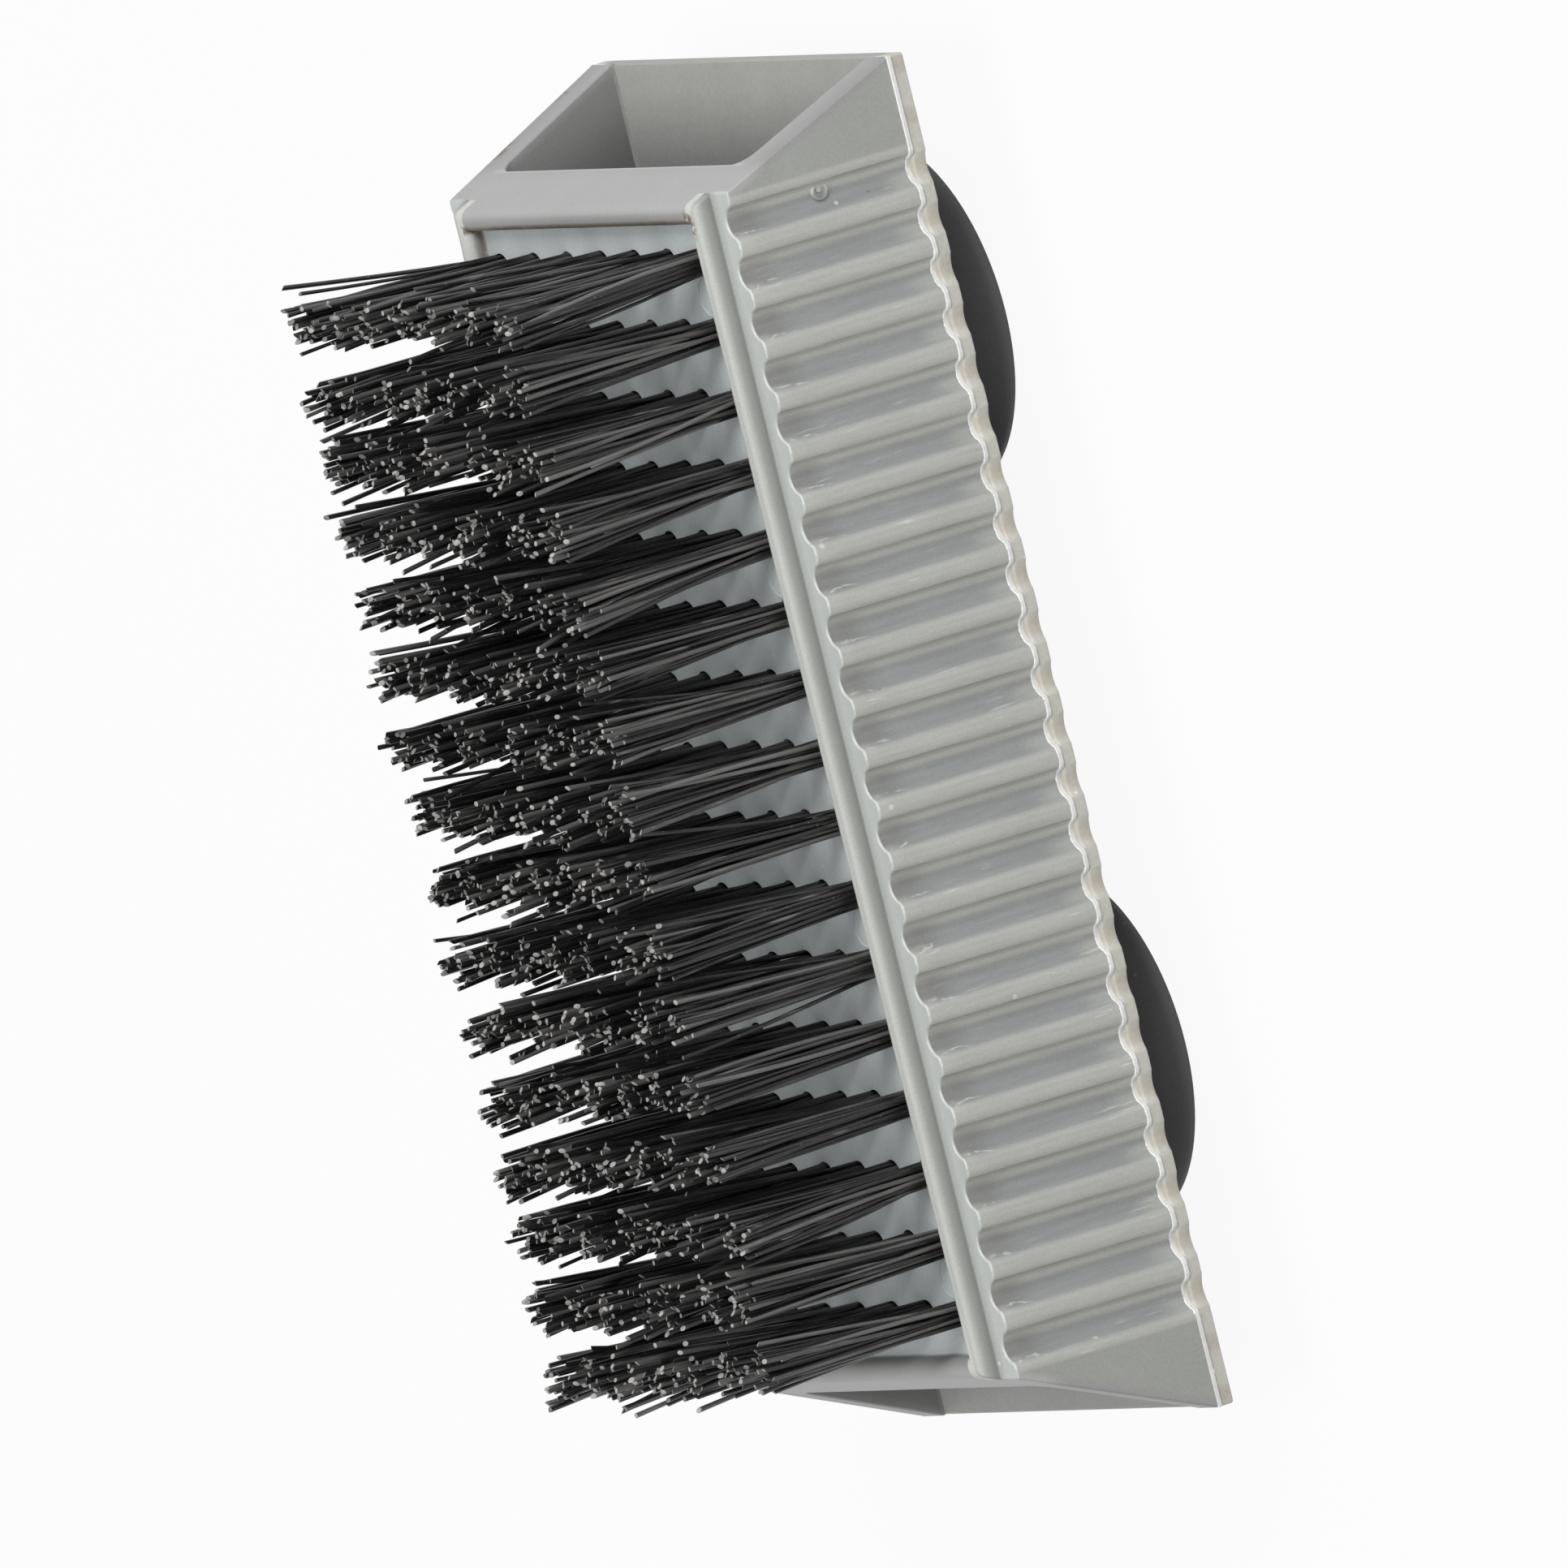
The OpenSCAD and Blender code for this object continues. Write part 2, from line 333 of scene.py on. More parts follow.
def round_edges(piece, radius_of, segments=4):
    """Rounds each edge to the radius that radius_of(middle, normals) gives, 0 for none."""
    shape = bmesh.new()
    shape.from_mesh(piece.data)
    weight = shape.edges.layers.float.new("bevel_weight_edge")
    wanted = {}
    for edge in shape.edges:
        if len(edge.link_faces) == 2 and edge.calc_face_angle(0) > math.radians(18):
            middle = (edge.verts[0].co + edge.verts[1].co) / 2
            radius = radius_of(middle, [f.normal for f in edge.link_faces])
            if radius:
                wanted[edge] = radius
    widest = max(wanted.values())
    for edge, radius in wanted.items():
        edge[weight] = radius / widest
    shape.to_mesh(piece.data)
    shape.free()
    finish_with(piece, "BEVEL", width=widest, segments=segments, limit_method="WEIGHT",
                offset_type="OFFSET", use_clamp_overlap=False)
    smooth(piece)
    finish_with(piece, "WEIGHTED_NORMAL", keep_sharp=True, weight=80)
    return piece


def wear(piece, material, *more):
    """Gives the piece its material, and more in further slots."""
    piece.data.materials.clear()
    for m in (material, *more):
        piece.data.materials.append(m)
    return piece


# ---------------------------------------------------------------- shader nodes


class Tree:
    """Adds nodes to a shader tree and links them as they are made."""

    def __init__(self, tree):
        self.tree = tree

    def feed(self, socket, value):
        """Links a node's output to the socket, or sets a plain value there."""
        if isinstance(value, bpy.types.NodeSocket):
            self.tree.links.new(value, socket)
        else:
            socket.default_value = value

    def add(self, kind, inputs=None, **settings):
        node = self.tree.nodes.new(kind)
        for name, value in settings.items():
            setattr(node, name, value)
        for name, value in (inputs or {}).items():
            self.feed(node.inputs[name], value)
        return node

    def math(self, operation, a, b=0.0):
        return self.add("ShaderNodeMath", {0: a, 1: b}, operation=operation).outputs[0]

    def plus(self, a, b):
        return self.math("ADD", a, b)

    def minus(self, a, b):
        return self.math("SUBTRACT", a, b)

    def times(self, first, *others):
        """The product of all of them."""
        return self.math("MULTIPLY", first, self.times(*others)) if others else first

    def most(self, a, b):
        return self.math("MAXIMUM", a, b)

    def plain(self, value):
        """The value without its sign."""
        return self.math("ABSOLUTE", value)

    def off(self, value, place):
        """How far the value is from the place, to either side."""
        return self.plain(self.minus(value, place))

    def band(self, value, low, high):
        """0 where the value is at low, 1 at high, and smooth between them."""
        node = self.add("ShaderNodeMapRange", {"Value": value, "From Min": low, "From Max": high},
                        interpolation_type="SMOOTHSTEP")
        return node.outputs["Result"]

    def ramp(self, value, stops):
        """The colour of the stops, each a place from 0 to 1 and a colour, at that value."""
        node = self.add("ShaderNodeValToRGB", {"Fac": value})
        node.color_ramp.interpolation = "LINEAR"
        while len(node.color_ramp.elements) < len(stops):
            node.color_ramp.elements.new(1.0)
        for element, (place, shade) in zip(node.color_ramp.elements, stops):
            element.position = place
            element.color = (*shade, 1.0)
        return node.outputs["Color"]

    def noise(self, place, scale, detail=2.0, roughness=0.5):
        node = self.add("ShaderNodeTexNoise", {"Vector": place, "Scale": scale, "Detail": detail,
                                               "Roughness": roughness})
        return node.outputs["Fac"]

    def stretch(self, place, scale):
        """The coordinates scaled, so that a texture is drawn out along the smallest scale."""
        return self.add("ShaderNodeMapping", {"Vector": place, "Scale": scale}).outputs["Vector"]

    def mix(self, share, a, b, blend="MIX"):
        """The colour a, with that share of the colour b blended in."""
        node = self.add("ShaderNodeMix", {0: share}, data_type="RGBA", blend_type=blend)
        for slot, shade in ((6, a), (7, b)):
            linked = isinstance(shade, bpy.types.NodeSocket)
            self.feed(node.inputs[slot], shade if linked else (*shade, 1.0))
        return node.outputs[2]

    def toned(self, shade, tone):
        """The colour times a grey tone."""
        grey = self.add("ShaderNodeCombineColor", {"Red": tone, "Green": tone, "Blue": tone})
        return self.mix(1.0, shade, grey.outputs["Color"], "MULTIPLY")

    def place(self):
        """Object coordinates, which are the frame's."""
        return self.add("ShaderNodeTexCoord").outputs["Object"]

    def axes(self, place):
        split = self.add("ShaderNodeSeparateXYZ", {"Vector": place})
        return split.outputs["X"], split.outputs["Y"], split.outputs["Z"]

    def group(self, made, inputs):
        return self.add("ShaderNodeGroup", inputs, node_tree=made).outputs

    def seen_directly(self):
        """1 for what the camera or a reflection sees, 0 where only the light is worked out."""
        path = self.add("ShaderNodeLightPath")
        seen = self.plus(path.outputs["Is Camera Ray"], path.outputs["Is Glossy Ray"])
        return self.math("MINIMUM", seen, 1.0)


def new_group(name, inputs, outputs):
    """An empty node group with those sockets, and its tree, input and output nodes."""
    made = bpy.data.node_groups.new(name, "ShaderNodeTree")
    for label, kind, value in inputs:
        socket = made.interface.new_socket(label, in_out="INPUT", socket_type=kind)
        if value is not None:
            socket.default_value = value
    for label, kind in outputs:
        made.interface.new_socket(label, in_out="OUTPUT", socket_type=kind)
    tree = Tree(made)
    return made, tree, tree.add("NodeGroupInput").outputs, tree.add("NodeGroupOutput").inputs


def grain_group():
    """The fine matt grain that a mould leaves, with a faint cloudiness in the colour."""
    made, t, given, out = new_group(
        "Moulded grain",
        [("Vector", "NodeSocketVector", None), ("Fineness", "NodeSocketFloat", 4000.0),
         ("Cloud Scale", "NodeSocketFloat", 120.0), ("Cloud", "NodeSocketFloat", 0.08)],
        [("Height", "NodeSocketFloat"), ("Tone", "NodeSocketFloat")])
    fine = t.noise(given["Vector"], given["Fineness"], 3.0, 0.6)
    cloud = t.noise(given["Vector"], given["Cloud Scale"], 3.0)
    swing = t.times(t.minus(cloud, 0.5), given["Cloud"])
    mottle = t.times(t.minus(fine, 0.5), 0.34)
    made.links.new(fine, out["Height"])
    made.links.new(t.plus(t.plus(swing, mottle), 1.0), out["Tone"])
    return made


def speck_group():
    """Small scattered specks, such as dust and crumbs."""
    made, t, given, out = new_group(
        "Specks",
        [("Vector", "NodeSocketVector", None), ("Scale", "NodeSocketFloat", 700.0),
         ("Size", "NodeSocketFloat", 0.12), ("Share", "NodeSocketFloat", 0.1)],
        [("Mask", "NodeSocketFloat")])
    cells = t.add("ShaderNodeTexVoronoi", {"Vector": given["Vector"], "Scale": given["Scale"]})
    tone = t.add("ShaderNodeSeparateColor", {"Color": cells.outputs["Color"]}).outputs["Red"]
    kept = t.math("LESS_THAN", tone, given["Share"])
    near = t.math("LESS_THAN", cells.outputs["Distance"], given["Size"])
    made.links.new(t.times(kept, near), out["Mask"])
    return made


def scuff_group():
    """Thin broken lines along Z, such as scuffs and drag marks."""
    made, t, given, out = new_group(
        "Scuffs",
        [("Vector", "NodeSocketVector", None), ("Fineness", "NodeSocketFloat", 1500.0),
         ("Patches", "NodeSocketFloat", 90.0), ("Level", "NodeSocketFloat", 0.62)],
        [("Mask", "NodeSocketFloat")])
    lines = t.noise(t.stretch(given["Vector"], (1.0, 1.0, 0.05)), given["Fineness"], 2.0)
    patches = t.noise(given["Vector"], given["Patches"], 2.0)
    sharp = t.band(lines, given["Level"], 0.74)
    made.links.new(t.times(sharp, t.band(patches, 0.5, 0.62)), out["Mask"])
    return made


def new_material(name):
    """A material with its Principled shader and the tree to fill."""
    material = bpy.data.materials.new(name)
    material.use_nodes = True
    shader = material.node_tree.nodes["Principled BSDF"]
    return material, shader, Tree(material.node_tree)


def paint(t, shader, shade, rough, height, strength, distance):
    """Gives the shader its colour, its roughness and a bump of that height."""
    t.feed(shader.inputs["Base Color"], shade)
    t.feed(shader.inputs["Roughness"], rough)
    made = t.add("ShaderNodeBump", {"Height": height, "Strength": strength, "Distance": distance})
    t.feed(shader.inputs["Normal"], made.outputs["Normal"])


def tint(shade, *factors):
    """The colour times one factor, or times a factor for each channel."""
    return [c * f for c, f in zip(shade, factors * (3 // len(factors)))]


def graded(shade, *steps):
    """Ramp stops of one colour, each step a place from 0 to 1 and a factor."""
    return [(place, tint(shade, factor)) for place, factor in steps]


def flute_shades(s):
    """Colours across one flute, from the middle of a crest to the middle of the next, with painted
    shade darkening the trough and a painted lighter band on its +X side.
    """
    steps = ((0.0, 0.0, 1.02), (0.062, 0.0, 0.99), (0.125, 0.35, 1.10), (0.188, 0.7, 1.09),
             (0.25, 0.95, 0.99), (0.31, 1.0, 0.90), (0.375, 1.0, 0.88), (0.44, 1.0, 0.92),
             (0.50, 1.0, 0.94), (0.562, 0.6, 0.93), (0.625, 0.1, 1.20), (0.688, 0.0, 1.42),
             (0.75, 0.0, 1.16), (0.81, 0.0, 1.20), (0.875, 0.0, 1.03), (0.94, 0.0, 0.97),
             (1.0, 0.0, 1.02))
    return [(place, [(a + (b - a) * share) * tone for a, b in zip(s.crest, s.bay)])
            for place, share, tone in steps]


def block_places(t):
    """Where a point of the block lies against its flanks, flutes, ends and ledge."""
    at = SimpleNamespace()
    at.place = t.place()
    at.x, at.y, at.z = t.axes(at.place)
    at.ax, at.ay = t.plain(at.x), t.plain(at.y)
    at.up = t.minus(at.z, SEAM_Z)
    at.inset = t.minus(t.minus(BACK_HALF_W, t.times(at.up, FLANK_LEAN)), at.ay)
    at.below = t.minus(LEDGE_Z, at.z)
    at.end_gap = t.minus(t.minus(BLOCK_HIGH.x, t.times(at.up, END_LEAN)), at.ax)
    flutes = t.math("DIVIDE", at.x, FLUTE_PITCH)
    at.flute = t.minus(flutes, t.math("ROUND", flutes))
    at.fluted = t.times(t.band(at.ax, FLUTED_HALF_L + FLUTE_BLUR, FLUTED_HALF_L - FLUTE_BLUR),
                        t.band(at.inset, 2.2 * MM, 1.7 * MM),
                        t.band(at.below, 0.02 * MM, 0.2 * MM))
    return at


def plain_shades(t, at, s):
    """The plain ends of the flanks, the walls of the channel, darker deeper in with painted shade,
    and the slanted ends, paler with painted light, with painted shade toward their inner edges and
    a painted highlight along the ceiling's edge.
    """
    # Painted shade: the channel's walls grow darker away from the open ends.
    inside = t.mix(t.band(at.end_gap, 1.0 * MM, 9.0 * MM), s.inside, tint(s.inside, 0.6))
    base = t.mix(t.band(at.inset, 2.9 * MM, 3.5 * MM), s.flat, inside)
    # Painted shade: the ends of the walls darken toward their inner edges.
    wall_end = t.mix(t.band(at.inset, 0.2 * MM, 3.2 * MM), tint(s.end, 0.74), tint(s.end, 0.86))
    cut_end = t.mix(t.band(at.below, 2.0 * MM, 5.0 * MM), s.end, wall_end)
    # brow: a painted highlight, a pale bluish strip along the ceiling's edge on the slanted ends.
    brow = t.times(t.band(t.off(at.z, CEILING_Z + 0.25 * MM), 0.4 * MM, 0.1 * MM),
                   t.band(at.inset, 2.5 * MM, 3.5 * MM))
    cut_end = t.mix(brow, cut_end, tint(s.end, 1.06, 1.13, 1.16))
    clouds = t.times(t.minus(t.noise(at.place, 240.0, 3.0, 0.6), 0.5), 0.5)
    cut_end = t.mix(t.most(clouds, 0.0), cut_end, s.flat)
    return t.mix(t.band(at.end_gap, 1.2 * MM, 0.1 * MM), base, cut_end)


def bay_shades(t, at, s):
    """The flutes, with dark brown painted shade in the troughs under the ledge, and paler round the
    arch and at the foot.
    """
    bays = t.ramp(t.plus(at.flute, 0.5), flute_shades(s))
    trough = t.times(t.band(at.flute, -0.34, -0.16), t.band(at.flute, 0.26, 0.12))
    # nose: painted shade, dark brown, in each trough just under the ledge.
    nose = t.times(t.band(at.below, 4.4 * MM, 1.6 * MM), trough)
    bays = t.mix(t.times(nose, 0.38), bays, tint(s.bay, 0.50, 0.45, 0.38))
    arch = t.times(t.band(at.below, 2.0 * MM, 0.4 * MM), t.band(t.plain(at.flute), 0.16, 0.28))
    bays = t.mix(t.times(arch, 0.6), bays, tint(s.crest, 1.1))
    foot = t.times(t.band(at.up, 3.2 * MM, 0.6 * MM), t.band(at.flute, 0.1, -0.1))
    return t.mix(t.times(foot, 0.55), bays, s.crest)


def front_shades(t, at, s, base):
    """The ledge, darker toward the rim's foot with painted shade; the rim, with a painted highlight
    on its top and inner edge and painted shade down its outer wall; and the recess floor, painted
    paler against the bristles' shadow.
    """
    level = t.times(t.band(t.plain(at.below), 0.22 * MM, 0.1 * MM),
                    t.band(at.ay, RIM_HALF_W - 0.2 * MM, RIM_HALF_W + 0.3 * MM))
    out = t.math("DIVIDE", t.minus(at.ay, RIM_HALF_W), LEDGE_HALF_W - RIM_HALF_W)
    # Painted shade: the ledge darkens toward the foot of the rim.
    shelf = t.ramp(out, graded(s.level, (0.0, 0.74), (0.12, 0.88), (0.40, 1.05), (1.0, 1.03)))
    base = t.mix(level, base, shelf)
    # Painted shade: the rim darkens down its outer wall toward the ledge.
    depth = t.math("DIVIDE", t.minus(RIM_Z, at.z), RIM_Z - LEDGE_Z)
    rim = t.ramp(depth, graded(s.rim, (0.0, 0.95), (0.12, 0.92), (0.35, 0.76), (0.63, 0.66),
                               (0.87, 0.53), (1.0, 0.44)))
    # Painted highlight along the rim's inner edge.
    rim = t.mix(t.band(at.ay, RIM_HALF_W - 0.75 * MM, RIM_HALF_W - 1.05 * MM), rim,
                tint(s.rim, 1.18))
    on_rim = t.times(t.band(at.below, 0.05 * MM, -0.1 * MM),
                     t.band(at.ay, RIM_HALF_W + 0.2 * MM, RIM_HALF_W + 0.05 * MM),
                     t.band(at.ay, RECESS_HALF_W - 0.1 * MM, RECESS_HALF_W + 0.1 * MM))
    base = t.mix(on_rim, base, rim)
    # Painted light: the recess floor takes the paler recess colour.
    in_recess = t.times(t.band(t.off(at.z, FLOOR_Z), 0.5 * MM, 0.2 * MM),
                        t.band(at.ax, RECESS_HALF_L + 0.15 * MM, RECESS_HALF_L),
                        t.band(at.ay, RECESS_HALF_W + 0.15 * MM, RECESS_HALF_W))
    return t.mix(in_recess, base, s.recess)


def flow_marks(t, at):
    """A thin broken curve near the ledge, on the -X side of each flute: a moulded flow ridge,
    painted as its highlight.
    """
    arc = t.times(t.math("POWER", t.off(at.below, 2.0 * MM), 2.0), 0.045 / (1.75 * MM) ** 2)
    wobble = t.times(t.minus(t.noise(at.place, 330.0, 4.0, 0.6), 0.5), 0.30)
    mark = t.plain(t.plus(t.plus(at.flute, 0.255), t.plus(arc, wobble)))
    mark = t.times(t.band(mark, 0.022, 0.004), t.band(at.below, 4.0 * MM, 2.4 * MM),
                   t.band(at.below, 0.3 * MM, 0.9 * MM))
    return t.times(mark, at.fluted, t.band(t.noise(at.place, 1100.0, 2.0), 0.38, 0.58))


def drag_lines(t, at, scuffs):
    """Pale lines along the flutes, denser on their -X side."""
    lines = t.group(scuffs, {"Vector": at.place, "Fineness": 2600.0, "Patches": 120.0,
                             "Level": 0.60})["Mask"]
    one_side = t.band(at.flute, -0.1, -0.25)
    return t.times(lines, at.fluted, t.plus(0.15, t.times(one_side, 0.45)))


def crease_and_lip_shades(t, at, s, base):
    """A painted shade line beside each crest, broken up by noise, and a painted highlight along the
    lips on the -X side of each flute.
    """
    # crease: painted shade, a dark line in each flute just short of the crest on its +X side.
    crease = t.times(t.band(t.off(at.flute, 0.30), 0.03, 0.006), at.fluted)
    crease_breaks = t.band(t.noise(t.stretch(at.place, (1, 1, 0.1)), 900.0, 2.0), 0.35, 0.6)
    base = t.mix(t.times(t.times(crease, crease_breaks), 0.4), base, (0.20, 0.19, 0.165))
    # lip: a painted highlight along the flutes' run-out at the ledge.
    lip = t.times(t.band(at.below, -0.01 * MM, 0.05 * MM), t.band(at.below, 0.26 * MM, 0.1 * MM))
    lip = t.times(lip, t.band(at.flute, 0.12, -0.1),
                  t.band(at.ax, FLUTED_HALF_L - FLUTE_BLUR, FLUTED_HALF_L - 2 * FLUTE_BLUR))
    lip = t.times(lip, t.band(at.ay, RIM_HALF_W + 0.9 * MM, RIM_HALF_W + 1.1 * MM))
    return t.mix(t.times(lip, 0.8), base, s.lip)


def recess_dirt_and_shade(t, at):
    """Soiling round the edge of the recess, partly painted shade, caked in the corner at the +X and
    -Y side.
    """
    edge_y = t.off(at.ay, RECESS_HALF_W)
    edge_x = t.off(at.x, RECESS_HALF_L + 0.1 * MM)
    inner = t.times(t.band(at.z, FLOOR_Z - 0.2 * MM, FLOOR_Z),
                    t.math("LESS_THAN", at.ay, RECESS_HALF_W + 0.5 * MM),
                    t.math("LESS_THAN", at.ax, RECESS_HALF_L + 0.6 * MM))
    # corner: patchy painted shade along the recess's walls.
    corner = t.most(t.band(edge_x, 0.55 * MM, 0.15 * MM), t.times(
        t.band(edge_y, 0.35 * MM, 0.0), t.band(at.z, RIM_Z - 0.5 * MM, FLOOR_Z)))
    patchy = t.most(t.band(t.noise(at.place, 260.0, 4.0, 0.65), 0.38, 0.6),
                    t.times(t.band(edge_x, 0.6 * MM, 0.3 * MM), 0.7))
    caked = t.times(t.band(t.plain(t.plus(at.y, 20.4 * MM)), 1.1 * MM, 0.4 * MM),
                    t.band(t.off(at.x, RECESS_HALF_L), 1.8 * MM, 0.6 * MM))
    caked = t.times(caked, t.band(at.below, 0.1 * MM, -0.3 * MM),
                    t.band(t.noise(at.place, 1500.0, 3.0, 0.7), 0.44, 0.56))
    return t.most(t.times(t.times(corner, patchy), inner), caked)


def end_rust(t, at):
    """Two brown stains on the outer edge of the end wall at the +X and +Y side."""
    spots = t.most(t.band(t.off(at.z, 22.4 * MM), 1.7 * MM, 0.5 * MM),
                   t.band(t.off(at.z, 15.4 * MM), 0.9 * MM, 0.3 * MM))
    rust = t.times(spots, t.band(at.end_gap, 1.4 * MM, 0.5 * MM),
                   t.band(t.off(at.inset, 0.3 * MM), 1.0 * MM, 0.3 * MM))
    return t.times(rust, t.math("GREATER_THAN", t.math("MINIMUM", at.x, at.y), 0.0),
                   t.plus(0.1, t.band(t.noise(at.place, 900.0, 3.0, 0.7), 0.42, 0.56)))


def block_plastic(s, grain, specks, scuffs):
    """Grey moulded plastic, bluer and darker in the flutes with painted shade, scuffed, with brown
    soiling and painted shade in its corners and painted highlights on its rim, lips and ends.
    """
    material, shader, t = new_material("moulded_grey")
    at = block_places(t)
    base = t.mix(at.fluted, plain_shades(t, at, s), bay_shades(t, at, s))
    base = crease_and_lip_shades(t, at, s, front_shades(t, at, s, base))
    # pale: the scuffs, and the flow marks' painted highlight.
    pale = t.most(t.times(flow_marks(t, at), 0.6), drag_lines(t, at, scuffs))
    base = t.mix(pale, base, DUST_AND_SHEEN)
    dust = t.group(specks, {"Vector": at.place, "Scale": 420.0, "Size": 0.10,
                            "Share": 0.05})["Mask"]
    base = t.mix(t.times(dust, 0.6), base, DUST_AND_SHEEN)
    soot = t.group(specks, {"Vector": t.stretch(at.place, (1.0, 1.3, 0.8)), "Scale": 500.0,
                            "Size": 0.09, "Share": 0.02})["Mask"]
    base = t.mix(t.times(soot, 0.55), base, (0.12, 0.10, 0.09))
    # Brown stains: rust on the end, soiling in the recess, and painted shade round the recess's
    # edge.
    dirt_and_shade = t.most(recess_dirt_and_shade(t, at), end_rust(t, at))
    base = t.mix(t.times(dirt_and_shade, 0.85), base, s.grime_and_shade)
    streak = t.noise(t.stretch(at.place, (1.0, 1.0, 0.05)), 1900.0, 3.0, 0.6)
    streak = t.times(t.minus(streak, 0.5), at.fluted, 0.34)
    base = t.mix(t.most(streak, 0.0), base, s.lip)
    base = t.mix(t.most(t.times(streak, -1.0), 0.0), base, s.grime_and_shade)
    g = t.group(grain, {"Vector": at.place, "Fineness": 4600.0, "Cloud Scale": 140.0,
                        "Cloud": 0.10})
    rough = t.plus(0.40, t.times(g["Height"], 0.16))
    height = t.plus(g["Height"], t.times(pale, 2.0))
    paint(t, shader, t.toned(base, g["Tone"]), rough, height, 0.25, 0.03 * MM)
    return material


def plate_plastic(s, grain, specks):
    """The plate's warm grey, with a pale edge that turns brown between the flutes with painted
    shade.
    """
    material, shader, t = new_material("plate_grey")
    place = t.place()
    x, y, _ = t.axes(place)
    g = t.group(grain, {"Vector": place, "Fineness": 2600.0, "Cloud Scale": 160.0, "Cloud": 0.16})
    ragged = t.times(t.minus(t.noise(place, 420.0, 4.0, 0.6), 0.5), 1.2 * MM)
    at_edge = t.band(t.plus(t.plain(y), ragged), BACK_HALF_W - 2.0 * MM, BACK_HALF_W - 1.2 * MM)
    base = t.mix(at_edge, s.plate, s.brightened)
    # Painted shade: the edge turns brown between the flutes, under the troughs.
    wave = t.math("COSINE", t.times(x, 2 * math.pi / FLUTE_PITCH))
    base = t.mix(t.times(t.times(t.band(wave, 0.1, 1.0), at_edge), 0.4), base, s.brown)
    crumbs = t.group(specks, {"Vector": place, "Scale": 520.0, "Size": 0.16, "Share": 0.10})
    base = t.mix(t.times(crumbs["Mask"], at_edge, 0.8), base, (0.82, 0.80, 0.76))
    paint(t, shader, t.toned(base, g["Tone"]), 0.5, g["Height"], 0.25, 0.03 * MM)
    return material


def dried_glue(s, grain, name, greyed):
    """Off-white glue, lumpy and a little glossy, greyed where it lies thin between the parts."""
    material, shader, t = new_material(name)
    place = t.place()
    _, y, _ = t.axes(place)
    g = t.group(grain, {"Vector": place, "Fineness": 2200.0, "Cloud Scale": 300.0, "Cloud": 0.25})
    visible = [a * (1 - greyed) + b * greyed for a, b in zip(s.glue, s.plate)]
    hidden = t.band(t.plain(y), SEAM_INNER_Y + 0.4 * MM, SEAM_INNER_Y)
    shown = t.mix(hidden, visible, s.plate)
    paint(t, shader, t.toned(shown, g["Tone"]), 0.38, g["Height"], 0.5, 0.05 * MM)
    return material


def black_nylon(s, scuffs):
    """Satin black filament, each a little lighter or browner than the next, the lighter ones a
    painted sheen.
    """
    material, shader, t = new_material("black_nylon")
    place = t.place()
    shade = t.add("ShaderNodeAttribute", attribute_name="filament_shade").outputs["Fac"]
    streaks = t.noise(t.stretch(place, (1.0, 1.0, 0.10)), 2600.0, 2.0)
    light = t.plus(t.times(shade, 0.7), t.times(streaks, 0.3))
    # Painted sheen: the lighter filaments stand in for their highlights.
    base = t.mix(t.band(light, 0.45, 0.95), s.nylon, s.sheen_grey)
    dry = t.group(scuffs, {"Vector": place, "Fineness": 3000.0, "Patches": 200.0, "Level": 0.58})
    base = t.mix(t.times(dry["Mask"], 0.6), base, CHIPPED_NYLON)
    chips = t.band(t.noise(place, 3400.0, 2.0, 0.7), 0.66, 0.74)
    base = t.mix(t.times(chips, 0.5), base, CHIPPED_NYLON)
    rough = t.plus(0.24, t.times(streaks, 0.20))
    paint(t, shader, base, rough, streaks, 0.3, 0.02 * MM)
    return material


def cut_nylon(s):
    """The pale, crushed ends of the filaments."""
    material, shader, t = new_material("cut_nylon")
    shade = t.add("ShaderNodeAttribute", attribute_name="filament_shade").outputs["Fac"]
    spots = t.noise(t.place(), 2400.0, 3.0)
    share = t.plus(t.times(shade, 0.7), t.times(spots, 0.3))
    base = t.mix(t.band(share, 0.15, 0.85), (0.11, 0.105, 0.10), s.cut_end)
    paint(t, shader, base, 0.55, spots, 0.4, 0.03 * MM)
    return material


def staple_steel():
    """Drawn steel wire with faint lines along it."""
    material, shader, t = new_material("staple_steel")
    lines = t.noise(t.stretch(t.place(), (1.0, 0.05, 1.0)), 6000.0, 2.0)
    base = t.mix(lines, (0.46, 0.46, 0.47), (0.62, 0.62, 0.63))
    shader.inputs["Metallic"].default_value = 1.0
    paint(t, shader, base, 0.35, lines, 0.2, 0.01 * MM)
    return material


def cup_rubber(s, grain, specks):
    """Matt charcoal rubber, painted lighter against the block's shade, with fine pale specks and a
    greyer, dusty bloom.
    """
    material, shader, t = new_material("charcoal_rubber")
    place = t.place()
    g = t.group(grain, {"Vector": place, "Fineness": 3600.0, "Cloud Scale": 90.0, "Cloud": 0.35})
    bloom = t.band(t.noise(place, 45.0, 3.0), 0.45, 0.75)
    base = t.mix(t.times(bloom, 0.4), s.rubber, (0.13, 0.13, 0.128))
    dust = t.group(specks, {"Vector": place, "Scale": 900.0, "Size": 0.16, "Share": 0.05})["Mask"]
    base = t.mix(t.times(dust, 0.5), base, (0.30, 0.29, 0.28))
    rough = t.plus(0.46, t.times(g["Height"], 0.2))
    paint(t, shader, t.toned(base, g["Tone"]), rough, g["Height"], 0.3, 0.03 * MM)
    return material


